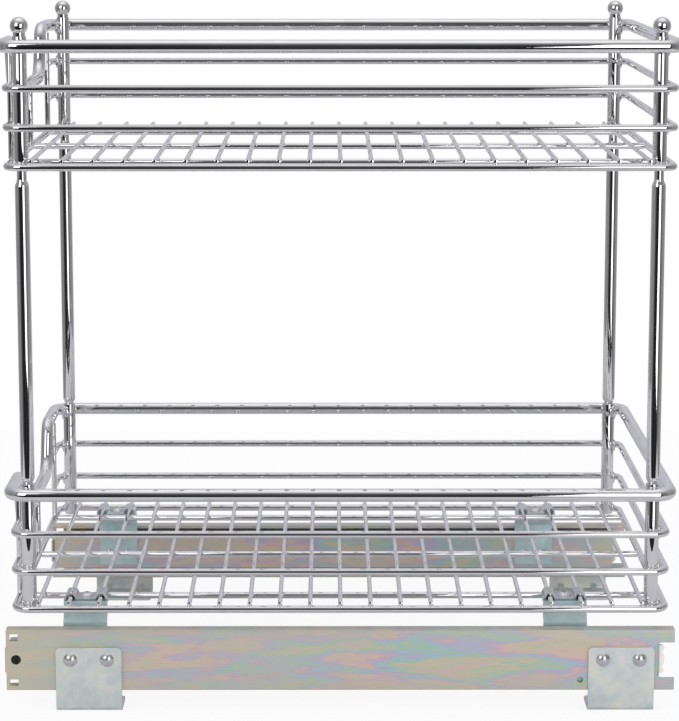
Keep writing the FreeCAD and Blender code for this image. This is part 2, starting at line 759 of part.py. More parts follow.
# Outlines that the rings and rims follow round the corner tubes
RING_HALF_X = "(%s + ring_corner)" % POST_X
RING_HALF_Y = "(%s + tube_diameter / 2 + ring_wire / 2 - weld_bite)" % POST_Y
RIM_HALF_X = "(%s + rim_corner)" % POST_X
RIM_HALF_Y = "(%s + tube_diameter / 2 + rim_wire / 2 - weld_bite)" % POST_Y


def draw_chain(sketch, pieces, closed):
    """Tangent chain of lines and arcs drawn end to end."""
    for piece in pieces:
        sketch.addGeometry(piece, False)
    last = len(pieces) if closed else len(pieces) - 1
    for i in range(last):
        rule = Sketcher.Constraint("Tangent", i, 2, (i + 1) % len(pieces), 1)
        sketch.addConstraint(rule)


def corner_arc(x, y, radius, start):
    """Quarter circle about a centre, from the start angle counterclockwise."""
    first = math.radians(start)
    circle = Part.Circle(Vector(x, y, 0), AXIS_Z, radius)
    return Part.ArcOfCircle(circle, first, first + math.pi / 2)


def bound_radius(sketch, arc, formula_text):
    rule = sketch.addConstraint(Sketcher.Constraint("Radius", arc, size(formula_text)))
    sketch.setExpression("Constraints[%d]" % rule, formula(formula_text))


def side_ring(label, level, gap=None):
    """Wire bent round the four corner tubes; with a gap, it stops at the left end's outer uprights."""
    body = new_body(label)
    half_x, half_y, radius = size(RING_HALF_X), size(RING_HALF_Y), size("ring_corner")
    flat_x, flat_y = half_x - radius, half_y - radius
    path = new_sketch(body, "XY_Plane", "path", level)
    near = Part.LineSegment(Vector(-flat_x, -half_y, 0), Vector(flat_x, -half_y, 0))
    front = Part.LineSegment(Vector(half_x, -flat_y, 0), Vector(half_x, flat_y, 0))
    far = Part.LineSegment(Vector(flat_x, half_y, 0), Vector(-flat_x, half_y, 0))
    chain = [near, corner_arc(flat_x, -flat_y, radius, -90), front, corner_arc(flat_x, flat_y, radius, 0),
             far, corner_arc(-flat_x, flat_y, radius, 90)]
    if gap:
        stub = size(gap)
        chain = [Part.LineSegment(Vector(-half_x, -stub, 0), Vector(-half_x, -flat_y, 0)),
                 corner_arc(-flat_x, -flat_y, radius, 180)] + chain
        chain.append(Part.LineSegment(Vector(-half_x, flat_y, 0), Vector(-half_x, stub, 0)))
    else:
        chain += [Part.LineSegment(Vector(-half_x, flat_y, 0), Vector(-half_x, -flat_y, 0)),
                  corner_arc(-flat_x, -flat_y, radius, 180)]
    draw_chain(path, chain, closed=not gap)
    first = 2 if gap else 0
    for number, piece in enumerate(chain):
        if isinstance(piece, Part.LineSegment):
            level_line = near_to(piece.StartPoint.y, piece.EndPoint.y)
            path.addConstraint(Sketcher.Constraint("Horizontal" if level_line else "Vertical", number))
        else:
            bound_radius(path, number, "ring_corner")
    pin_point(path, first, 1, "-" + POST_X, "-" + RING_HALF_Y)
    pin_point(path, first + 4, 1, POST_X, RING_HALF_Y)
    if gap:
        for number, sign in ((0, "-"), (len(chain) - 1, "")):
            end = 1 if number == 0 else 2
            rule = Sketcher.Constraint("DistanceY", -1, 1, number, end, size(sign + "(" + gap + ")"))
            added = path.addConstraint(rule)
            path.setExpression("Constraints[%d]" % added, formula(sign + "(" + gap + ")"))
        section = new_sketch(body, "XZ_Plane", "section", gap)
        draw_circle(section, "-" + RING_HALF_X, level, "ring_wire")
    else:
        section = new_sketch(body, "YZ_Plane", "section", "-" + POST_X)
        draw_circle(section, "-" + RING_HALF_Y, level, "ring_wire")
    return sweep_along(body, section, path)


def sweep_along(body, section, path):
    doc.recompute()
    pipe = body.newObject("PartDesign::AdditivePipe", body.Label + "_wire")
    pipe.Profile = section
    pipe.Spine = (path, ["Edge%d" % (number + 1) for number in range(path.GeometryCount)])
    doc.recompute()
    return body


# The rim's left end drops to give a low opening: a level stub, a steep leg and a level bottom
def rounded_loop(corners, radii):
    """Closed wire through corners in space, with each corner rounded by an arc."""
    edges = []
    count = len(corners)
    starts, ends = [], []
    for i, corner in enumerate(corners):
        before = (corners[i - 1] - corner).normalize()
        after = (corners[(i + 1) % count] - corner).normalize()
        half = before.getAngle(after) / 2
        back = radii[i] / math.tan(half)
        start, end = corner + before * back, corner + after * back
        centre = corner + (before + after).normalize() * (radii[i] / math.sin(half))
        middle = centre + (corner - centre).normalize() * radii[i]
        starts.append(start)
        ends.append(end)
        edges.append(Part.Arc(start, middle, end).toShape())
    chain = []
    for i in range(count):
        chain.append(Part.makeLine(ends[i - 1], starts[i]))
        chain.append(edges[i])
    return Part.Wire(chain)


def rim(tier):
    level = "(%s + rim_rise)" % TIERS[tier]
    half_x, half_y, height = size(RIM_HALF_X), size(RIM_HALF_Y), size(level)
    top, bottom, depth = size(ROD_Y + " - dip_inset"), size(ROD_Y + " - dip_inset - dip_lean"), size("dip_depth")
    corners = [
        Vector(half_x, -half_y, height), Vector(half_x, half_y, height), Vector(-half_x, half_y, height),
        Vector(-half_x, top, height), Vector(-half_x, bottom, height - depth),
        Vector(-half_x, -bottom, height - depth), Vector(-half_x, -top, height),
        Vector(-half_x, -half_y, height),
    ]
    bend, low_bend, plan = size("dip_top_bend"), size("dip_bottom_bend"), size("rim_corner")
    radii = [plan, plan, plan, bend, low_bend, low_bend, bend, plan]
    path = doc.addObject("Part::Feature", tier + "_rim_path")
    path.Shape = rounded_loop(corners, radii)
    section = doc.addObject("Part::Circle", tier + "_rim_section")
    bind(section, Radius="rim_wire / 2")
    place(section, x="-" + POST_X, y="-" + RIM_HALF_Y, z=level, turn=ALONG_X)
    swept = doc.addObject("Part::Sweep", tier + "_rim")
    swept.Sections = [section]
    swept.Spine = (path, ["Edge%d" % (number + 1) for number in range(len(path.Shape.Edges))])
    swept.Solid = True
    return swept


# The two upper side rings end on the left end's outer uprights, which leaves that end low
RING_END = "(%s + upright_wire / 2 - weld_bite)" % ROD_Y
GAPS = {"bottom_ring": None, "middle_ring": RING_END, "top_ring": RING_END}


def floor_wires(tier):
    half = "(%s + floor_wire_end)" % RING_HALF_Y
    level = FLOOR_WIRE_LEVEL % TIERS[tier]
    wires = [cylinder(tier + "_floor_wire", "floor_wire", "2 * " + half, turn=ALONG_Y,
                      x="%s + %d * %s" % (FIRST_WIRE, number, FLOOR_PITCH), y="-" + half, z=level)
             for number in range(FLOOR_WIRES)]
    return group(tier + "_floor_wires", wires)


# Floor rods: they run under the wires, between the bottom ring's two ends
def floor_rods(tier):
    half = "(%s - ring_wire / 2 + weld_bite)" % RING_HALF_X
    level = "(%s + ring_wire / 2 - rod_wire / 2)" % TIERS[tier]
    rods = [cylinder(tier + "_floor_rod", "rod_wire", "2 * " + half, turn=ALONG_X, x="-" + half, y=y, z=level)
            for y in ("-" + ROD_Y, "0", ROD_Y)]
    return group(tier + "_floor_rods", rods)


def uprights(tier):
    """Uprights of the left end: two up to the rim and one to the bottom of its dip."""
    foot = "(%s + ring_wire / 2 - weld_bite)" % TIERS[tier]
    under_rim = "(%s + rim_rise - rim_wire / 2 + 2 * weld_bite)" % TIERS[tier]
    wires = [cylinder(tier + "_upright", "upright_wire", "%s - %s" % (top, foot), x="-" + RING_HALF_X, y=y, z=foot)
             for y, top in (("-" + ROD_Y, under_rim), ("0", under_rim + " - dip_depth"), (ROD_Y, under_rim))]
    return group(tier + "_uprights", wires)


# Corner tubes, bored where a post or a finial plugs in
def corner_tubes(tier):
    low = "(%s - ring_wire / 2)" % TIERS[tier]
    top = "(%s + tube_top_rise)" % TIERS[tier]
    overrun = "tube_bore / 4"
    bores = {"lower": [top + " - bore_depth"], "upper": [top + " - bore_depth", low + " - " + overrun]}[tier]
    tubes = []
    for sign_y in SIDES.values():
        for sign_x in ENDS.values():
            where = {"x": "%d * %s" % (sign_x, POST_X), "y": "%d * %s" % (sign_y, POST_Y)}
            wall = cylinder("tube_wall", "tube_diameter", "%s - %s" % (top, low), z=low, **where)
            tools = [cylinder("tube_bore", "tube_bore", "bore_depth + " + overrun, z=z, **where) for z in bores]
            tubes.append(cut("corner_tube", wall, tools))
    return group(tier + "_corner_tubes", tubes)


for tier in TIERS:
    keep(rim(tier))
    for number, name in enumerate(RING_NAMES):
        ring_level = "%s + %d * ring_spacing" % (TIERS[tier], number)
        keep(side_ring("%s_%s" % (tier, name), ring_level, GAPS[name]))
    keep(floor_wires(tier))
    keep(floor_rods(tier))
    keep(uprights(tier))
    keep(corner_tubes(tier))


# Posts: swaged at both ends to plug into the corner tubes
def post(side, end):
    body = new_body("post_%s_%s" % (side, end))
    foot_z = "(lower_floor + tube_top_rise)"
    head_z = "(upper_floor - ring_wire / 2)"
    neck, full = "neck_diameter / 2", "tube_diameter / 2"
    profile = new_sketch(body, "XZ_Plane", "profile")
    draw_outline(profile, [
        ("0", foot_z + " - neck_insert"), (neck, foot_z + " - neck_insert"),
        (neck, foot_z + " + neck_foot"), (full, foot_z + " + neck_foot + neck_taper"),
        (full, head_z + " - neck_exposed - neck_taper"), (neck, head_z + " - neck_exposed"),
        (neck, head_z + " + neck_insert"), ("0", head_z + " + neck_insert"),
    ])
    add_revolution(body, profile)
    place(body, x="%d * %s" % (ENDS[end], POST_X), y="%d * %s" % (SIDES[side], POST_Y))
    return body


# Ball finials, turned in one piece and plugged into the tops of the upper corner tubes
def finial(side, end):
    body = new_body("finial_%s_%s" % (side, end))
    tube_top = "(upper_floor + tube_top_rise)"
    middle, stem_foot = tube_top + " + finial_rise + finial_ball / 2", tube_top + " - finial_stem"
    neck, collar, radius = "neck_diameter / 2", "finial_collar / 2", size("finial_ball / 2")
    centre = Vector(0, size(middle), 0)
    first_angle = -math.acos(size(collar) / radius)
    ball = Part.ArcOfCircle(Part.Circle(centre, AXIS_Z, radius), first_angle, math.pi / 2)
    profile = new_sketch(body, "XZ_Plane", "profile")
    corners = [("0", stem_foot), (neck, stem_foot), (neck, tube_top), (collar, tube_top)]
    points = [Vector(size(x), size(y), 0) for x, y in corners] + [ball.StartPoint]
    for start, stop in zip(points, points[1:]):
        profile.addGeometry(Part.LineSegment(start, stop), False)
    profile.addGeometry(ball, False)
    profile.addGeometry(Part.LineSegment(ball.EndPoint, points[0]), False)
    for number in range(6):
        profile.addConstraint(Sketcher.Constraint("Coincident", number, 2, (number + 1) % 6, 1))
    for number in (3, 5):
        profile.addConstraint(Sketcher.Constraint("Vertical", number))
    for number, (x, y) in enumerate(corners):
        pin_point(profile, number, 1, x, y)
    pin_point(profile, 4, 3, "0", middle)
    bound_radius(profile, 4, "finial_ball / 2")
    add_revolution(body, profile)
    place(body, x="%d * %s" % (ENDS[end], POST_X), y="%d * %s" % (SIDES[side], POST_Y))
    return body


for side in SIDES:
    for end in ENDS:
        keep(post(side, end))
        keep(finial(side, end))

doc.recompute()

# Every object has to be sound before anything is written
failed = [item.Name for item in doc.Objects if {"Invalid", "Error"} & set(item.State)]
for node in nodes:
    if node.Shape.isNull() or not node.Shape.isValid() or not node.Shape.Solids:
        failed.append(node.Label)
if failed:
    raise RuntimeError("objects that failed: " + ", ".join(failed))

os.makedirs("parts", exist_ok=True)
for node in nodes:
    node.Shape.exportStep("parts/%s.step" % node.Label)
triangles = sum(len(node.Shape.tessellate(0.1)[1]) for node in nodes)
print("%d nodes, %d solids, about %d triangles"
      % (len(nodes), sum(len(node.Shape.Solids) for node in nodes), triangles))
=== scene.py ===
"""Two-tier pull-out cabinet rack: the studio, the camera and the finish of every piece.

Pieces and their patterns are sized in millimetres, and brought to metres when they are handed over.
The studio and the camera are placed in metres.
"""
import math

import bmesh
import bpy
from mathutils import Matrix, Vector


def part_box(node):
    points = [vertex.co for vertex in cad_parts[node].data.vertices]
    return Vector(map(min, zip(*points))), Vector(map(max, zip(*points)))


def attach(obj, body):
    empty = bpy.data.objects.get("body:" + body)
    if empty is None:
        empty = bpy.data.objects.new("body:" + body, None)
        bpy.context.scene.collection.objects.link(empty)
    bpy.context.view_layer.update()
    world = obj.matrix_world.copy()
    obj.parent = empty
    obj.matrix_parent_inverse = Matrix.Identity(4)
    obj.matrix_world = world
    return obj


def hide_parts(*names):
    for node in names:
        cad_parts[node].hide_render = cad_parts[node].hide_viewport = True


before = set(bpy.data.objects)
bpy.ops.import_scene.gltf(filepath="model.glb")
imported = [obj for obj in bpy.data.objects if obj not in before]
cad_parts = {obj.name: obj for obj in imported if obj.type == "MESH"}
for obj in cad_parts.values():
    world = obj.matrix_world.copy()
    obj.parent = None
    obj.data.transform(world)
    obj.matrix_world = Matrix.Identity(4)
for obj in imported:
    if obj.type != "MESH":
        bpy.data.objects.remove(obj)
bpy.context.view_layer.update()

# Camera: a long lens a little above the rack, square to its long side.
# It looks down 9 degrees, and its lens is shifted down a little to keep the posts upright.
camera_data = bpy.data.cameras.new("product_camera")
camera_data.sensor_fit = "HORIZONTAL"
camera_data.sensor_width = 36
camera_data.lens = 129.3
camera_data.shift_x, camera_data.shift_y = 0.00798, -0.12
camera = bpy.data.objects.new("product_camera", camera_data)
camera.location = (-0.0073, -1.7539, 0.5488)
camera.rotation_euler = (math.radians(90 - 8.817), 0, math.radians(-0.107))
bpy.context.scene.collection.objects.link(camera)
bpy.context.scene.camera = camera
bpy.context.scene.view_settings.view_transform = "Standard"


# Studio surround: a white tent with a dark gap on the photographer's side, which bright plating shows.
# It is white overhead and darkens softly down to a black band in front, with pale grey behind the rack.
def linear(code):
    """sRGB hex colour as the linear RGBA that sockets hold."""
    channels = [int(code[i:i + 2], 16) / 255 for i in (1, 3, 5)]
    return [c / 12.92 if c <= 0.04045 else ((c + 0.055) / 1.055) ** 2.4 for c in channels] + [1]


def add_node(tree, kind, inputs=None, stops=None, **settings):
    """Node with its settings; an input takes a value, a hex colour or another node's output.

    Stops are a colour ramp's positions and colours, from the lowest position up.
    """
    node = tree.nodes.new(kind)
    for name, value in settings.items():
        setattr(node, name, value)
    for socket, value in (inputs or {}).items():
        if isinstance(value, bpy.types.NodeSocket):
            tree.links.new(value, node.inputs[socket])
        else:
            node.inputs[socket].default_value = linear(value) if isinstance(value, str) else value
    for number, (position, colour) in enumerate(stops or []):
        slots = node.color_ramp.elements
        stop = slots[number] if number < 2 else slots.new(position)
        stop.position, stop.color = position, linear(colour)
    return node


# The gap's tone all the way round: 0 and 1 are behind the rack, 0.25 its left, 0.5 the camera's side.
GAP_BY_AZIMUTH = [
    (0.0, "#C6C6CE"), (0.13, "#A0A0A3"), (0.26, "#7C7C7D"), (0.311, "#8E8E8E"), (0.361, "#5A5A58"),
    (0.40, "#2A2A2A"), (0.47, "#1A1A1B"), (0.50, "#363638"), (0.53, "#1C1C1D"), (0.61, "#2A2A2A"),
    (0.63, "#6A6864"), (0.678, "#74746F"), (0.744, "#929290"), (0.814, "#8A8A8C"), (0.90, "#B9B8BE"),
    (1.0, "#C6C6CE"),
]
# How much of the tent shows over the gap: 0.5 is level and 1 is straight up.
TENT_BY_HEIGHT = [
    (0.50, "#000000"), (0.595, "#2C2C2C"), (0.727, "#484848"), (0.84, "#7A7A7A"), (0.933, "#C6C6C6"),
    (0.985, "#F8F8F8"), (1.0, "#FFFFFF"),
]
# How steeply down the gap ends: 0 is level and -1 is straight down.
GAP_FOOT, GAP_FOOT_BLUR = -0.86, 0.05
ROOM_LIGHT = "#E8E8E8"

world = bpy.data.worlds.new("white_tent")
world.use_nodes = True
bpy.context.scene.world = world
tent = world.node_tree
tent.nodes.clear()
outwards = add_node(tent, "ShaderNodeTexCoord").outputs["Generated"]
direction = add_node(tent, "ShaderNodeSeparateXYZ", {0: outwards})
toward_camera = add_node(tent, "ShaderNodeMath", {0: direction.outputs["Y"], 1: -1.0}, operation="MULTIPLY")
azimuth = add_node(tent, "ShaderNodeMath", {0: direction.outputs["X"], 1: toward_camera.outputs[0]},
                   operation="ARCTAN2")
turn = add_node(tent, "ShaderNodeMapRange", {"Value": azimuth.outputs[0], "From Min": -math.pi,
                                             "From Max": math.pi})
height = add_node(tent, "ShaderNodeMapRange", {"Value": direction.outputs["Z"], "From Min": -1.0})
walls = add_node(tent, "ShaderNodeValToRGB", {0: height.outputs[0]},
                 stops=[(0.0, "#C4C4CA"), (0.37, "#D8D7DE"), (0.84, "#FCFCFE"), (1.0, "#FFFFFF")])
gap_tone = add_node(tent, "ShaderNodeValToRGB", {0: turn.outputs[0]}, stops=GAP_BY_AZIMUTH)
over_foot = add_node(tent, "ShaderNodeMapRange", {
    "Value": direction.outputs["Z"], "From Min": GAP_FOOT - GAP_FOOT_BLUR,
    "From Max": GAP_FOOT + GAP_FOOT_BLUR})
gap = add_node(tent, "ShaderNodeMix", {0: over_foot.outputs[0], 6: walls.outputs[0], 7: gap_tone.outputs[0]},
               data_type="RGBA")
tent_share = add_node(tent, "ShaderNodeValToRGB", {0: height.outputs[0]}, stops=TENT_BY_HEIGHT)
studio = add_node(tent, "ShaderNodeMix", {0: tent_share.outputs[0], 6: gap.outputs[2], 7: walls.outputs[0]},
                  data_type="RGBA")

# The camera sees plain white, plating shows the studio, and everything else gets an even pale light.
rays = add_node(tent, "ShaderNodeLightPath").outputs
straight = add_node(tent, "ShaderNodeMath", {0: rays["Is Camera Ray"], 1: rays["Is Transmission Ray"]},
                    operation="MAXIMUM")
backdrop = add_node(tent, "ShaderNodeMix", {0: straight.outputs[0], 6: ROOM_LIGHT, 7: "#FFFFFF"},
                    data_type="RGBA")
seen = add_node(tent, "ShaderNodeMix", {0: rays["Is Glossy Ray"], 6: backdrop.outputs[2],
                                        7: studio.outputs[2]}, data_type="RGBA")
glow = add_node(tent, "ShaderNodeBackground", {"Color": seen.outputs[2], "Strength": 1.0})
add_node(tent, "ShaderNodeOutputWorld", {"Surface": glow.outputs[0]})


# Floor sheet: white paper, which keeps a faint shadow of the rack and shows pale grey in the plating.
# It ends half a metre in front of the rack's middle, where the plating goes from pale grey to black.
def new_material(name):
    """Empty material and its node tree."""
    material = bpy.data.materials.new(name)
    material.use_nodes = True
    material.node_tree.nodes.clear()
    return material, material.node_tree


FLOOR_HALF, FLOOR_FRONT = 0.75, -0.53
PAPER_LIFT = 0.87


def white_paper():
    """Matt paper, lifted towards plain white for the camera, so that only a light shadow is left."""
    material, tree = new_material("white_paper")
    rays = add_node(tree, "ShaderNodeLightPath").outputs
    tone = add_node(tree, "ShaderNodeMix", {0: rays["Is Glossy Ray"], 6: "#FFFFFF", 7: "#CFCED3"},
                    data_type="RGBA")
    matt = add_node(tree, "ShaderNodeBsdfDiffuse", {"Color": tone.outputs[2]})
    white = add_node(tree, "ShaderNodeEmission", {"Color": "#FFFFFF", "Strength": 1.0})
    lift = add_node(tree, "ShaderNodeMath", {0: rays["Is Camera Ray"], 1: PAPER_LIFT}, operation="MULTIPLY")
    both = add_node(tree, "ShaderNodeMixShader", {
        0: lift.outputs[0], 1: matt.outputs[0], 2: white.outputs[0]})
    add_node(tree, "ShaderNodeOutputMaterial", {"Surface": both.outputs[0]})
    return material


floor_mesh = bmesh.new()
bmesh.ops.create_grid(floor_mesh, x_segments=1, y_segments=1, size=FLOOR_HALF)
for corner in floor_mesh.verts:
    corner.co.y = max(corner.co.y, FLOOR_FRONT)
floor_data = bpy.data.meshes.new("paper_floor")
floor_mesh.to_mesh(floor_data)
floor_mesh.free()
floor_data.materials.append(white_paper())
floor = bpy.data.objects.new("paper_floor", floor_data)
bpy.context.scene.collection.objects.link(floor)

# Softboxes: one to each side of the camera, seen as the bright windows in every tube, bend and ball.
# Each is a place in metres, a width, a height, a lean in degrees and a brightness against white.
AIM = Vector((0, 0, 0.3))
for side_name, at, wide, tall, lean, brightness in (
        ("left", (-1.35, -2.1, 1.47), 1.5, 2.0, 0, 1.6),
        ("right", (0.98, -2.1, 0.68), 1.1, 1.95, -6, 1.75)):
    lamp = bpy.data.lights.new("softbox_" + side_name, "AREA")
    lamp.shape, lamp.size, lamp.size_y = "RECTANGLE", wide, tall
    lamp.energy = brightness * math.pi * wide * tall
    softbox = bpy.data.objects.new("softbox_" + side_name, lamp)
    away = Vector(at) - AIM
    facing = Vector((away.x, away.y, 0)).to_track_quat("Z", "Y").to_matrix().to_4x4()
    softbox.matrix_world = Matrix.Translation(at) @ facing @ Matrix.Rotation(math.radians(lean), 4, "Z")
    bpy.context.scene.collection.objects.link(softbox)


# Top rims: heavy drawn steel wire, bent at four corners and down at the left end, then butt-welded.
# Each is bent round the four corner tubes of its tier and welded to them, and the basket is chromed.
MM = 0.001
WIPE_MARK, DRAWN_MARK = 18.0, 4.0


def chrome_plate():
    """Chrome over nickel: a mirror with a cool tint and faint wiping marks.

    The marks of drawing are drawn coarser than they are, so that reflections waver a little.
    """
    material, tree = new_material("chrome_plate_on_drawn_wire")
    place = add_node(tree, "ShaderNodeTexCoord").outputs["Object"]
    wiping = add_node(tree, "ShaderNodeTexNoise", {"Vector": place, "Scale": 1 / (WIPE_MARK * MM),
                                                   "Detail": 3.0})
    haze = add_node(tree, "ShaderNodeMapRange", {"Value": wiping.outputs[0], "From Min": 0.35,
                                                 "From Max": 0.75, "To Min": 0.015, "To Max": 0.05})
    tint = add_node(tree, "ShaderNodeValToRGB", {0: wiping.outputs[0]},
                    stops=[(0.3, "#ECECEE"), (0.7, "#F5F5F7")])
    drawn = add_node(tree, "ShaderNodeTexNoise", {"Vector": place, "Scale": 1 / (DRAWN_MARK * MM),
                                                  "Detail": 2.0})
    relief = add_node(tree, "ShaderNodeBump", {"Height": drawn.outputs[0], "Strength": 0.05,
                                               "Distance": 0.2 * MM})
    plate = add_node(tree, "ShaderNodeBsdfPrincipled", {
        "Base Color": tint.outputs[0], "Metallic": 1.0, "Roughness": haze.outputs[0],
        "Normal": relief.outputs[0]})
    add_node(tree, "ShaderNodeOutputMaterial", {"Surface": plate.outputs[0]})
    return material


chrome = chrome_plate()
WIRE_SIDES = 28
BEND_STEP = math.radians(7)
CHAMFER_SHARE = 0.09


def box_mm(node):
    """Lowest and highest corner of a CAD node in millimetres."""
    return [Vector(corner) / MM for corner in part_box(node)]


def start_wire(bm, at, heading, diameter):
    """Cut end of a wire, facing the way it is fed."""
    facing = heading.to_track_quat("Z", "Y").to_matrix().to_4x4()
    ring = bmesh.ops.create_circle(bm, segments=WIRE_SIDES, radius=diameter / 2,
                                   matrix=Matrix.Translation(at) @ facing)
    return list(dict.fromkeys(edge for vert in ring["verts"] for edge in vert.link_edges))


def feed(bm, end, along):
    """Push the wire straight on."""
    pushed = bmesh.ops.extrude_edge_only(bm, edges=end)["geom"]
    verts = {item for item in pushed if isinstance(item, bmesh.types.BMVert)}
    bmesh.ops.translate(bm, verts=list(verts), vec=along)
    return [item for item in pushed if isinstance(item, bmesh.types.BMEdge) and verts.issuperset(item.verts)]


def bend(bm, end, centre, axis, angle):
    """Wrap the wire round a former."""
    steps = max(3, round(angle / BEND_STEP))
    turned = bmesh.ops.spin(bm, geom=end, cent=centre, axis=axis, dvec=(0, 0, 0), angle=angle, steps=steps)
    return [item for item in turned["geom_last"] if isinstance(item, bmesh.types.BMEdge)]


def bent_wire(bm, corners, radii, diameter, closed=False):
    """Wire fed through corners and bent to a radius at each.

    A closed one meets itself mid-side, and an open one has its cut ends chamfered.
    """
    corners = [Vector(corner) for corner in corners]
    if closed:
        joint = (corners[-1] + corners[0]) / 2
        corners = [joint, *corners, joint]
    at = corners[0]
    end = start = start_wire(bm, at, corners[1] - at, diameter)
    for before, corner, after, radius in zip(corners, corners[1:], corners[2:], radii):
        came, goes = (before - corner).normalized(), (after - corner).normalized()
        half = came.angle(goes) / 2
        back = radius / math.tan(half)
        centre = corner + (came + goes).normalized() * radius / math.sin(half)
        end = feed(bm, end, corner + came * back - at)
        end = bend(bm, end, centre, goes.cross(came), math.pi - 2 * half)
        at = corner + goes * back
    end = feed(bm, end, corners[-1] - at)
    if not closed:
        for cut_end in (start, end):
            bmesh.ops.contextual_create(bm, geom=cut_end)
        bmesh.ops.bevel(bm, geom=start + end, offset=diameter * CHAMFER_SHARE, segments=2, profile=0.5,
                        affect="EDGES", material=-1)


MERGE_GAP = 0.002
SHARP = math.radians(38)


def finish_piece(bm, name, material, body, nodes):
    """Bring a piece to metres, shade it smooth between its sharp edges and set it in for its CAD nodes."""
    bmesh.ops.remove_doubles(bm, verts=bm.verts, dist=MERGE_GAP)
    bmesh.ops.recalc_face_normals(bm, faces=bm.faces)
    bmesh.ops.scale(bm, verts=bm.verts, vec=(MM, MM, MM))
    data = bpy.data.meshes.new(name)
    bm.to_mesh(data)
    bm.free()
    data.shade_smooth()
    data.set_sharp_from_angle(angle=SHARP)
    data.materials.append(material)
    piece = bpy.data.objects.new(name, data)
    bpy.context.scene.collection.objects.link(piece)
    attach(piece, body)
    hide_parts(*nodes)
    return piece


def weld_bead(bm, at, half_size):
    """Smooth squeezed-out bead of a resistance weld."""
    shape = Matrix.Translation(at) @ Matrix.Diagonal((*half_size, 1))
    bmesh.ops.create_uvsphere(bm, u_segments=10, v_segments=6, radius=1, matrix=shape)


TUBE = 9.5
TUBE_BEAD_HALF_DEPTH, TUBE_BEAD_HALF_WIDTH = 1.7, 1.9
TUBE_BEAD_PAST_WIRE, TUBE_BEAD_FROM_END = 2.6, 1.0
tubes_low, tubes_high = box_mm("upper_corner_tubes")
POST_X, POST_Y = tubes_high.x - TUBE / 2, tubes_high.y - TUBE / 2


def tube_welds(bm, tier, z, wire):
    """Beads on the outer sides of the corner tubes, over and under the wire that is bent round them."""
    reach = wire / 2 + TUBE_BEAD_PAST_WIRE
    low, high = box_mm(tier + "_corner_tubes")
    foot = max(low.z + TUBE_BEAD_FROM_END, z - reach)
    head = min(high.z - TUBE_BEAD_FROM_END, z + reach)
    for x in (-POST_X - TUBE / 2, POST_X + TUBE / 2):
        for y in (-POST_Y, POST_Y):
            weld_bead(bm, (x, y, (foot + head) / 2),
                      (TUBE_BEAD_HALF_DEPTH, TUBE_BEAD_HALF_WIDTH, (head - foot) / 2))


TIERS = ("lower", "upper")
RIM_WIRE, RIM_CORNER = 9.0, 12.0
DIP_TOP, DIP_BOTTOM = 86.0, 74.0
DIP_TOP_BEND, DIP_BOTTOM_BEND = 12.0, 20.0
for tier in TIERS:
    low, high = box_mm(tier + "_rim")
    x, y = high.x - RIM_WIRE / 2, high.y - RIM_WIRE / 2
    z, z_dip = high.z - RIM_WIRE / 2, low.z + RIM_WIRE / 2
    bm = bmesh.new()
    bent_wire(bm, [
        (x, -y, z), (x, y, z), (-x, y, z), (-x, DIP_TOP, z), (-x, DIP_BOTTOM, z_dip),
        (-x, -DIP_BOTTOM, z_dip), (-x, -DIP_TOP, z), (-x, -y, z)],
        [RIM_CORNER] * 3 + [DIP_TOP_BEND, DIP_BOTTOM_BEND, DIP_BOTTOM_BEND, DIP_TOP_BEND, RIM_CORNER],
        RIM_WIRE, closed=True)
    tube_welds(bm, tier, z, RIM_WIRE)
    finish_piece(bm, tier + "_rim_wire", chrome, "rack", [tier + "_rim"])

# Side rings: lighter steel wire, bent round the corner tubes, resistance-welded to them and chromed.
# The bottom one is closed; the two above it stop at the outer uprights and leave the left end low.
RING_WIRE, RING_CORNER = 5.0, 10.0
WELD_BITE = 0.08
for tier in TIERS:
    stub_y = box_mm(tier + "_uprights")[1].y - WELD_BITE
    for ring_name in ("bottom_ring", "middle_ring", "top_ring"):
        low, high = box_mm("%s_%s" % (tier, ring_name))
        x, y, z = high.x - RING_WIRE / 2, high.y - RING_WIRE / 2, (low.z + high.z) / 2
        corners = [(-x, -y, z), (x, -y, z), (x, y, z), (-x, y, z)]
        closed = ring_name == "bottom_ring"
        if not closed:
            corners = [(-x, -stub_y, z), *corners, (-x, stub_y, z)]
        bm = bmesh.new()
        bent_wire(bm, corners, [RING_CORNER] * 4, RING_WIRE, closed=closed)
        tube_welds(bm, tier, z, RING_WIRE)
        finish_piece(bm, "%s_%s_wire" % (tier, ring_name), chrome, "rack",
                     ["%s_%s" % (tier, ring_name)])

# Floor wires: thin straight wires laid across the rods and the bottom ring, sheared to length.
# They are resistance-welded at every crossing, which squeezes a small bead out under the wire.
FLOOR_WIRE, FLOOR_WIRES, ROD_WIRE = 3.0, 21, 4.5
END_WELD_INSET = 0.8
CROSSING_BEAD = (1.9, 1.9, 0.9)
for tier in TIERS:
    low, high = box_mm(tier + "_floor_wires")
    rod_inset = box_mm(tier + "_floor_rods")[0].y + ROD_WIRE / 2 - low.y
    pitch = (high.x - low.x - FLOOR_WIRE) / (FLOOR_WIRES - 1)
    z = (low.z + high.z) / 2
    bm = bmesh.new()
    for number in range(FLOOR_WIRES):
        x = low.x + FLOOR_WIRE / 2 + number * pitch
        bent_wire(bm, [(x, low.y, z), (x, high.y, z)], [], FLOOR_WIRE)
        for y in (low.y + END_WELD_INSET, low.y + rod_inset, 0, high.y - rod_inset, high.y - END_WELD_INSET):
            weld_bead(bm, (x, y, low.z), CROSSING_BEAD)
    finish_piece(bm, tier + "_floor_wire_row", chrome, "rack", [tier + "_floor_wires"])

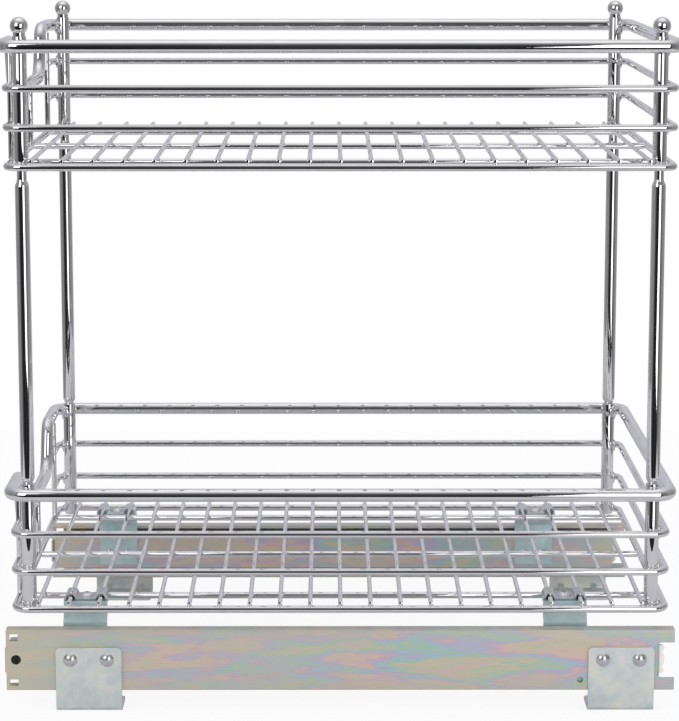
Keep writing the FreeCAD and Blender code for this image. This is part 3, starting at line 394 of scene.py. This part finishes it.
# Floor rods and uprights: straight wires, the rods under the floor wires and the uprights on the
# bottom ring's left end, where the middle one stops under the rim's lowered part.
UPRIGHT_WIRE = 4.0
for tier in TIERS:
    low, high = box_mm(tier + "_floor_rods")
    z = (low.z + high.z) / 2
    bm = bmesh.new()
    for y in (low.y + ROD_WIRE / 2, 0, high.y - ROD_WIRE / 2):
        bent_wire(bm, [(low.x, y, z), (high.x, y, z)], [], ROD_WIRE)
    finish_piece(bm, tier + "_floor_rod_set", chrome, "rack", [tier + "_floor_rods"])
    low, high = box_mm(tier + "_uprights")
    rim_low, rim_high = box_mm(tier + "_rim")
    x, dip = (low.x + high.x) / 2, rim_high.z - rim_low.z - RIM_WIRE
    bm = bmesh.new()
    for y, top in ((low.y + UPRIGHT_WIRE / 2, high.z), (0, high.z - dip),
                   (high.y - UPRIGHT_WIRE / 2, high.z)):
        bent_wire(bm, [(x, y, low.z), (x, y, top)], [], UPRIGHT_WIRE)
    finish_piece(bm, tier + "_upright_set", chrome, "rack", [tier + "_uprights"])

# Corner tubes: thick-walled steel tube, turned true at both ends and bored for the post or finial.
# The rim and the rings are welded on round them, and one chrome plate covers all.
TURNED_SIDES = 36


def turned_piece(bm, profile, x, y, rounding=0.0):
    """Piece turned about an upright axis from a half section of (radius, height) points."""
    verts = [bm.verts.new((x + radius, y, z)) for radius, z in profile]
    for pair in zip(verts, verts[1:]):
        bm.edges.new(pair)
    if rounding:
        bmesh.ops.bevel(bm, geom=verts[1:-1], offset=rounding, segments=3, profile=0.5, affect="VERTICES",
                        material=-1)
    section = [item for item in [*bm.verts, *bm.edges] if not item.link_faces]
    bmesh.ops.spin(bm, geom=section, cent=(x, y, 0), axis=(0, 0, 1), dvec=(0, 0, 0),
                   angle=2 * math.pi, steps=TURNED_SIDES, use_merge=True)


TUBE_BORE, BORE_DEPTH, TUBE_EDGE = 6.9, 22.0, 0.35
CORNERS = {"%s_%s" % (side, end): (x * POST_X, y * POST_Y)
           for side, y in (("near", -1), ("far", 1)) for end, x in (("rear", -1), ("front", 1))}
for tier in TIERS:
    low, high = box_mm(tier + "_corner_tubes")
    foot = [(0, low.z), (TUBE / 2, low.z)]
    if tier == "upper":
        foot = [(0, low.z + BORE_DEPTH), (TUBE_BORE / 2, low.z + BORE_DEPTH), (TUBE_BORE / 2, low.z),
                (TUBE / 2, low.z)]
    head = [(TUBE / 2, high.z), (TUBE_BORE / 2, high.z), (TUBE_BORE / 2, high.z - BORE_DEPTH),
            (0, high.z - BORE_DEPTH)]
    bm = bmesh.new()
    for x, y in CORNERS.values():
        turned_piece(bm, foot + head, x, y, TUBE_EDGE)
    finish_piece(bm, tier + "_corner_tube_set", chrome, "rack", [tier + "_corner_tubes"])

# Posts: chromed steel tube between the tiers, swaged down to a neck at each end.
# The necks plug into the corner tubes of the two tiers and are left long enough to show.
NECK, NECK_INSERT, NECK_EXPOSED, NECK_FOOT, NECK_TAPER, SWAGED_EDGE = 6.5, 16.0, 7.0, 0.6, 3.0, 0.9
lower_top = box_mm("lower_corner_tubes")[1].z
for corner, (x, y) in CORNERS.items():
    bm = bmesh.new()
    turned_piece(bm, [
        (0, lower_top - NECK_INSERT), (NECK / 2, lower_top - NECK_INSERT), (NECK / 2, lower_top + NECK_FOOT),
        (TUBE / 2, lower_top + NECK_FOOT + NECK_TAPER), (TUBE / 2, tubes_low.z - NECK_EXPOSED - NECK_TAPER),
        (NECK / 2, tubes_low.z - NECK_EXPOSED), (NECK / 2, tubes_low.z + NECK_INSERT),
        (0, tubes_low.z + NECK_INSERT)], x, y, SWAGED_EDGE)
    finish_piece(bm, "post_%s_tube" % corner, chrome, "rack", ["post_" + corner])

# Ball finials: steel balls turned with a short collar and a stem, and chrome-plated.
# The stems are pressed into the tops of the upper tubes, which the collars close.
FINIAL_BALL, FINIAL_COLLAR, FINIAL_STEM = 12.0, 8.2, 9.0
BALL_ARC_STEPS = 14
for corner, (x, y) in CORNERS.items():
    top = box_mm("finial_" + corner)[1].z
    centre = top - FINIAL_BALL / 2
    start = math.pi - math.asin(FINIAL_COLLAR / FINIAL_BALL)
    arc = [(FINIAL_BALL / 2 * math.sin(start * (1 - step / BALL_ARC_STEPS)),
            centre + FINIAL_BALL / 2 * math.cos(start * (1 - step / BALL_ARC_STEPS)))
           for step in range(BALL_ARC_STEPS + 1)]
    bm = bmesh.new()
    turned_piece(bm, [
        (0, tubes_high.z - FINIAL_STEM), (NECK / 2, tubes_high.z - FINIAL_STEM), (NECK / 2, tubes_high.z),
        (FINIAL_COLLAR / 2, tubes_high.z)] + arc, x, y)
    finish_piece(bm, "finial_%s_ball" % corner, chrome, "rack", ["finial_" + corner])

# Slide members: cold-rolled steel strip, roll-formed into channels with ball tracks that nest in one
# another. The largest is riveted to the feet, and the smallest carries the brackets of the rack.
STREAK_LENGTH, STREAK_DEPTH, STREAK_HEIGHT = 75.0, 20.0, 14.0
PATCH, ROLLING_LENGTH, ROLLING_LINE = 70.0, 30.0, 0.6
WEB_MIDDLE, STREAKS_FADE, STREAKS_FULL = 37.0, 19.0, 10.0
GOLD_FROM, GOLD_FULL = -180.0, -225.0


def yellow_zinc():
    """Yellow chromate over zinc: silver grey with pale gold, pink, green and cyan streaks.

    They run along the rolling and are strongest along the middle of the web, where the bath drained last,
    and the rear end is a plainer gold. The rolling lines are drawn coarser than they are, so that they show.
    """
    material, tree = new_material("yellow_chromate_zinc_on_steel")
    place = add_node(tree, "ShaderNodeTexCoord").outputs["Object"]
    along = add_node(tree, "ShaderNodeMapping", {"Vector": place, "Scale": (
        1 / (STREAK_LENGTH * MM), 1 / (STREAK_DEPTH * MM), 1 / (STREAK_HEIGHT * MM))})
    film = add_node(tree, "ShaderNodeTexNoise", {"Vector": along.outputs[0], "Scale": 1.0, "Detail": 4.0,
                                                 "Roughness": 0.6, "Distortion": 0.5})
    hue = add_node(tree, "ShaderNodeValToRGB", {0: film.outputs[0]}, stops=[
        (0.26, "#C4C1B4"), (0.36, "#CFC6A8"), (0.42, "#DCC1B2"), (0.46, "#D2B4BE"), (0.495, "#BAB6D4"),
        (0.53, "#A6C6D2"), (0.57, "#AACBB2"), (0.62, "#CDC7AA"), (0.67, "#D8BCB8"), (0.73, "#BCC5B6"),
        (0.80, "#CBC3A8")])
    patch = add_node(tree, "ShaderNodeTexNoise", {"Vector": place, "Scale": 1 / (PATCH * MM), "Detail": 2.0})
    thick = add_node(tree, "ShaderNodeMapRange", {"Value": patch.outputs[0], "From Min": 0.36,
                                                  "From Max": 0.60, "To Min": 0.35, "To Max": 0.9})
    where = add_node(tree, "ShaderNodeSeparateXYZ", {0: place})
    level = add_node(tree, "ShaderNodeMath", {0: where.outputs["Z"], 1: WEB_MIDDLE * MM},
                     operation="SUBTRACT")
    off_middle = add_node(tree, "ShaderNodeMath", {0: level.outputs[0]}, operation="ABSOLUTE")
    middle = add_node(tree, "ShaderNodeMapRange", {
        "Value": off_middle.outputs[0], "From Min": STREAKS_FADE * MM, "From Max": STREAKS_FULL * MM,
        "To Min": 0.45, "To Max": 1.0})
    strength = add_node(tree, "ShaderNodeMath", {0: thick.outputs[0], 1: middle.outputs[0]},
                        operation="MULTIPLY")
    streaked = add_node(tree, "ShaderNodeMix", {0: strength.outputs[0], 6: "#C4C2B7", 7: hue.outputs[0]},
                        data_type="RGBA")
    rear = add_node(tree, "ShaderNodeMapRange", {"Value": where.outputs["X"], "From Min": GOLD_FROM * MM,
                                                 "From Max": GOLD_FULL * MM, "To Max": 0.6})
    colour = add_node(tree, "ShaderNodeMix", {0: rear.outputs[0], 6: streaked.outputs[2], 7: "#D0C5A6"},
                      data_type="RGBA")
    rolled = add_node(tree, "ShaderNodeMapping", {"Vector": place, "Scale": (
        1 / (ROLLING_LENGTH * MM), 1 / (ROLLING_LINE * MM), 1 / (ROLLING_LINE * MM))})
    lines = add_node(tree, "ShaderNodeTexNoise", {"Vector": rolled.outputs[0], "Scale": 1.0, "Detail": 2.0})
    sheen = add_node(tree, "ShaderNodeMapRange", {"Value": lines.outputs[0], "To Min": 0.24, "To Max": 0.36})
    relief = add_node(tree, "ShaderNodeBump", {"Height": lines.outputs[0], "Strength": 0.06,
                                               "Distance": 0.1 * MM})
    plate = add_node(tree, "ShaderNodeBsdfPrincipled", {
        "Base Color": colour.outputs[2], "Metallic": 0.5, "Roughness": sheen.outputs[0],
        "Normal": relief.outputs[0]})
    add_node(tree, "ShaderNodeOutputMaterial", {"Surface": plate.outputs[0]})
    return material


def formed_sheet(node, name, material, body, edge):
    """Pressed or roll-formed piece: the CAD shape as one skin, with its sheared edges broken."""
    bm = bmesh.new()
    bm.from_mesh(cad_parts[node].data)
    bmesh.ops.scale(bm, verts=bm.verts, vec=(1 / MM, 1 / MM, 1 / MM))
    bmesh.ops.remove_doubles(bm, verts=bm.verts, dist=MERGE_GAP)
    bmesh.ops.dissolve_limit(bm, angle_limit=math.radians(0.5), verts=bm.verts, edges=bm.edges)
    piece = finish_piece(bm, name, material, body, [node])
    broken = piece.modifiers.new("broken_edges", "BEVEL")
    broken.width, broken.segments, broken.limit_method = edge * MM, 2, "ANGLE"
    broken.angle_limit = SHARP
    broken.harden_normals = True
    return piece


yellow_plate = yellow_zinc()
OUTER_EDGE, INNER_EDGE = 0.18, 0.12
for side in ("near", "far"):
    formed_sheet("cabinet_member_" + side, "cabinet_channel_" + side, yellow_plate,
                 "cabinet_side", OUTER_EDGE)
    formed_sheet("intermediate_member_" + side, "intermediate_channel_" + side, yellow_plate,
                 "intermediate_" + side, INNER_EDGE)
    formed_sheet("drawer_member_" + side, "drawer_channel_" + side, yellow_plate, "rack",
                 INNER_EDGE)

# Ball cages and balls: thin strip pressed with a pocket for each ball, and polished bearing steel.
# The cages keep the balls apart in the tracks and travel with them.
CLOUD, CRYSTAL, SCUFF = 14.0, 1.2, 2.5


def blue_zinc(name, tints, metallic, smoothest, roughest):
    """Blue-white zinc: soft clouds of four tints, from the bluest to the warmest, with a fine grain.

    The plate's crystals are drawn coarser than they are, so that the grain shows.
    """
    material, tree = new_material(name)
    place = add_node(tree, "ShaderNodeTexCoord").outputs["Object"]
    cloud = add_node(tree, "ShaderNodeTexNoise", {"Vector": place, "Scale": 1 / (CLOUD * MM), "Detail": 4.0,
                                                  "Roughness": 0.6})
    colour = add_node(tree, "ShaderNodeValToRGB", {0: cloud.outputs[0]},
                      stops=list(zip((0.30, 0.45, 0.58, 0.75), tints)))
    grain = add_node(tree, "ShaderNodeTexNoise", {"Vector": place, "Scale": 1 / (CRYSTAL * MM),
                                                  "Detail": 2.0})
    sheen = add_node(tree, "ShaderNodeMapRange", {"Value": grain.outputs[0], "To Min": smoothest,
                                                  "To Max": roughest})
    relief = add_node(tree, "ShaderNodeBump", {"Height": grain.outputs[0], "Strength": 0.06,
                                               "Distance": 0.02 * MM})
    plate = add_node(tree, "ShaderNodeBsdfPrincipled", {
        "Base Color": colour.outputs[0], "Metallic": metallic, "Roughness": sheen.outputs[0],
        "Normal": relief.outputs[0]})
    add_node(tree, "ShaderNodeOutputMaterial", {"Surface": plate.outputs[0]})
    return material


def bright_steel(name, smoothest, roughest):
    """Bright steel: a neutral mirror that small scuffs blur, as much as its two roughnesses say."""
    material, tree = new_material(name)
    place = add_node(tree, "ShaderNodeTexCoord").outputs["Object"]
    scuff = add_node(tree, "ShaderNodeTexNoise", {"Vector": place, "Scale": 1 / (SCUFF * MM), "Detail": 3.0})
    sheen = add_node(tree, "ShaderNodeMapRange", {"Value": scuff.outputs[0], "To Min": smoothest,
                                                  "To Max": roughest})
    colour = add_node(tree, "ShaderNodeValToRGB", {0: scuff.outputs[0]},
                      stops=[(0.3, "#D2D2D4"), (0.7, "#E6E6E8")])
    metal = add_node(tree, "ShaderNodeBsdfPrincipled", {
        "Base Color": colour.outputs[0], "Metallic": 1.0, "Roughness": sheen.outputs[0]})
    add_node(tree, "ShaderNodeOutputMaterial", {"Surface": metal.outputs[0]})
    return material


blue_plate = blue_zinc("blue_white_zinc_on_steel", ("#C6D0D1", "#D2DAD9", "#DEE0DA", "#E6E2D7"),
                       0.55, 0.26, 0.44)
steel = bright_steel("polished_bearing_steel", 0.06, 0.2)
CAGE_EDGE = 0.06
BALL, BALLS_IN_ROW = 3.2, 3
for side in ("near", "far"):
    for layer in ("outer", "inner"):
        body = "%s_cage_%s" % (layer, side)
        formed_sheet("%s_ball_cage_%s" % (layer, side), "%s_cage_strip_%s" % (layer, side), blue_plate,
                     body, CAGE_EDGE)
        low, high = box_mm("%s_balls_%s" % (layer, side))
        pitch = (high.x - low.x - BALL) / (BALLS_IN_ROW - 1)
        bm = bmesh.new()
        for number in range(BALLS_IN_ROW):
            for z in (low.z + BALL / 2, high.z - BALL / 2):
                at = Matrix.Translation((low.x + BALL / 2 + number * pitch, (low.y + high.y) / 2, z))
                bmesh.ops.create_icosphere(bm, subdivisions=3, radius=BALL / 2, matrix=at)
        finish_piece(bm, "%s_ball_row_%s" % (layer, side), steel, body,
                     ["%s_balls_%s" % (layer, side)])


# Bumpers and stops: moulded black rubber at the rear end of each cabinet member, and pale nylon with
# a waved face at the front end of each intermediate member.
def moulded(name, colour, other, roughness, grain_size):
    """Moulded rubber or nylon: a soft sheen over the fine orange peel of the mould."""
    material, tree = new_material(name)
    place = add_node(tree, "ShaderNodeTexCoord").outputs["Object"]
    grain = add_node(tree, "ShaderNodeTexNoise", {"Vector": place, "Scale": 1 / (grain_size * MM),
                                                  "Detail": 3.0})
    tone = add_node(tree, "ShaderNodeValToRGB", {0: grain.outputs[0]}, stops=[(0.3, colour), (0.7, other)])
    relief = add_node(tree, "ShaderNodeBump", {"Height": grain.outputs[0], "Strength": 0.2,
                                               "Distance": 0.1 * MM})
    plastic = add_node(tree, "ShaderNodeBsdfPrincipled", {
        "Base Color": tone.outputs[0], "Roughness": roughness, "Normal": relief.outputs[0]})
    add_node(tree, "ShaderNodeOutputMaterial", {"Surface": plastic.outputs[0]})
    return material


RUBBER_GRAIN, NYLON_GRAIN = 0.8, 1.5
BUMPER_EDGE, STOP_EDGE = 0.3, 0.2
rubber = moulded("moulded_black_rubber", "#141414", "#1E1D1C", 0.75, RUBBER_GRAIN)
nylon = moulded("moulded_natural_nylon", "#DEDCCF", "#E8E6DC", 0.42, NYLON_GRAIN)
for side in ("near", "far"):
    formed_sheet("rear_bumper_" + side, "rubber_bumper_" + side, rubber, "cabinet_side",
                 BUMPER_EDGE)
    formed_sheet("front_stop_" + side, "nylon_stop_" + side, nylon, "intermediate_" + side,
                 STOP_EDGE)

# Feet: thick steel strip bent to an L, with dents pressed into the bend, in blue-white zinc plate.
# Each is riveted to a cabinet member and has one hole in its flange for a wood screw.
FOOT_EDGE = 0.25
for corner in CORNERS:
    formed_sheet("foot_" + corner, "foot_plate_" + corner, blue_plate, "cabinet_side",
                 FOOT_EDGE)

# Foot rivets: domed heads closed on the outer faces of the feet, two to a foot.
# Tumbled before plating, they are bright but soft, so that they blur the dark gap.
CROWN_STEPS = 8


def domed_head(bm, at, facing, head, crown, shank, length):
    """Head with a spherical crown on a straight shank; the seat is at the given place."""
    radius = head ** 2 / 8 / crown + crown / 2
    edge_angle = math.asin(head / 2 / radius)
    first = len(bm.verts)
    arc = [(radius * math.sin(edge_angle * (1 - step / CROWN_STEPS)),
            crown - radius + radius * math.cos(edge_angle * (1 - step / CROWN_STEPS)))
           for step in range(1, CROWN_STEPS + 1)]
    turned_piece(bm, [(0, -length), (shank / 2, -length), (shank / 2, 0), (head / 2, 0)] + arc, 0, 0)
    bm.verts.ensure_lookup_table()
    turn_to = Matrix.Translation(at) @ facing.to_track_quat("Z", "Y").to_matrix().to_4x4()
    bmesh.ops.transform(bm, matrix=turn_to, verts=bm.verts[first:])


rivet_steel = bright_steel("tumbled_bright_plated_steel", 0.2, 0.32)
RIVET_HEAD, RIVET_CROWN, RIVET_SHANK, RIVET_LENGTH, RIVET_SPACING = 9.8, 2.4, 4.6, 3.2, 25.0
low, high = box_mm("foot_rivets")
bm = bmesh.new()
for side, outward in (("near", -1), ("far", 1)):
    for end in ("rear", "front"):
        foot_low, foot_high = box_mm("foot_%s_%s" % (side, end))
        foot_x = (foot_low.x + foot_high.x) / 2
        seat_y = foot_low.y if side == "near" else foot_high.y
        for half in (-1, 1):
            at = Vector((foot_x + half * RIVET_SPACING / 2, seat_y, (low.z + high.z) / 2))
            domed_head(bm, at, Vector((0, outward, 0)), RIVET_HEAD, RIVET_CROWN, RIVET_SHANK, RIVET_LENGTH)
finish_piece(bm, "foot_rivet_heads", rivet_steel, "cabinet_side", ["foot_rivets"])

# Basket brackets and clamp plates: zinc-plated strip jogged inwards and bent flat under the floor
# wires, and pressed hats that clamp two wires each to it. The strips took more blue from their bath,
# and the hats are bright where pressing burnished them.
STRIP_EDGE = 0.2
bluer_plate = blue_zinc("blue_chromate_zinc_on_steel", ("#B0C8CC", "#B8CED3", "#C2D4D6", "#C9D8D8"),
                        0.5, 0.32, 0.38)
burnished_plate = blue_zinc("burnished_zinc_on_steel", ("#BFCBD2", "#CAD3D6", "#D2D8D9", "#DADCDA"),
                            0.95, 0.06, 0.16)
for corner in CORNERS:
    formed_sheet("basket_bracket_" + corner, "bracket_strip_" + corner, bluer_plate,
                 "rack", STRIP_EDGE)
    formed_sheet("clamp_plate_" + corner, "clamp_hat_" + corner, burnished_plate, "rack",
                 STRIP_EDGE)

# Bracket rivets: low heads of the same tumbled and plated steel, two to a bracket.
# They hold it to the drawer member and are closed on the bracket's inner face.
PIN_HEAD, PIN_CROWN, PIN_SHANK, PIN_LENGTH, PIN_SPACING = 6.5, 1.2, 3.6, 2.7, 14.0
STRIP_GAUGE = 1.5
low, high = box_mm("bracket_rivets")
bm = bmesh.new()
for side, inward in (("near", 1), ("far", -1)):
    for end in ("rear", "front"):
        strip_low, strip_high = box_mm("basket_bracket_%s_%s" % (side, end))
        strip_x = (strip_low.x + strip_high.x) / 2
        seat_y = strip_low.y + STRIP_GAUGE if side == "near" else strip_high.y - STRIP_GAUGE
        for half in (-1, 1):
            at = Vector((strip_x + half * PIN_SPACING / 2, seat_y, (low.z + high.z) / 2))
            domed_head(bm, at, Vector((0, inward, 0)), PIN_HEAD, PIN_CROWN, PIN_SHANK, PIN_LENGTH)
finish_piece(bm, "bracket_rivet_heads", rivet_steel, "rack", ["bracket_rivets"])

# Clamp screws: pan heads with a cross recess, driven from above through the clamp plates.
# They are polished and plated steel, so that the recess shows dark in a bright head.
SCREW_HEAD, SCREW_CROWN, SCREW, SCREW_LENGTH = 11.0, 2.8, 4.0, 9.0
RECESS_SPAN, RECESS_WIDTH, RECESS_DEPTH, RECESS_TURN = 5.6, 1.3, 1.9, 0.4
RECESS_FOOT, RECESS_MOUTH = 0.35, 0.72


def cut_recess(piece, places):
    """Cross recess, tapering downwards, punched into each head; foot and mouth are shares of its span."""
    bm = bmesh.new()
    for place in places:
        for quarter in (0, math.pi / 2):
            blade = bmesh.ops.create_cone(
                bm, segments=4, cap_ends=True, radius1=RECESS_SPAN * RECESS_FOOT,
                radius2=RECESS_SPAN * RECESS_MOUTH, depth=2 * RECESS_DEPTH,
                matrix=Matrix.Rotation(math.pi / 4, 4, "Z"))["verts"]
            bmesh.ops.scale(bm, verts=blade, vec=(1, RECESS_WIDTH / RECESS_SPAN, 1))
            bmesh.ops.rotate(bm, verts=blade, cent=(0, 0, 0),
                             matrix=Matrix.Rotation(quarter + RECESS_TURN, 3, "Z"))
            bmesh.ops.translate(bm, verts=blade, vec=place)
    bmesh.ops.scale(bm, verts=bm.verts, vec=(MM, MM, MM))
    data = bpy.data.meshes.new("recess_punch")
    bm.to_mesh(data)
    bm.free()
    punch = bpy.data.objects.new("recess_punch", data)
    bpy.context.scene.collection.objects.link(punch)
    punched = piece.modifiers.new("cross_recess", "BOOLEAN")
    punched.object, punched.operation, punched.solver = punch, "DIFFERENCE", "EXACT"
    punched.use_self = True
    done = bpy.data.meshes.new_from_object(piece.evaluated_get(bpy.context.evaluated_depsgraph_get()))
    piece.modifiers.clear()
    piece.data = done
    bpy.data.objects.remove(punch)


seat_z = box_mm("clamp_screws")[1].z - SCREW_CROWN
bm = bmesh.new()
crowns = []
for corner in CORNERS:
    plate_low, plate_high = box_mm("clamp_plate_" + corner)
    at = Vector(((plate_low.x + plate_high.x) / 2, (plate_low.y + plate_high.y) / 2, seat_z))
    domed_head(bm, at, Vector((0, 0, 1)), SCREW_HEAD, SCREW_CROWN, SCREW, SCREW_LENGTH)
    crowns.append(at + Vector((0, 0, SCREW_CROWN)))
screws = finish_piece(bm, "clamp_screw_heads", steel, "rack", ["clamp_screws"])
cut_recess(screws, crowns)
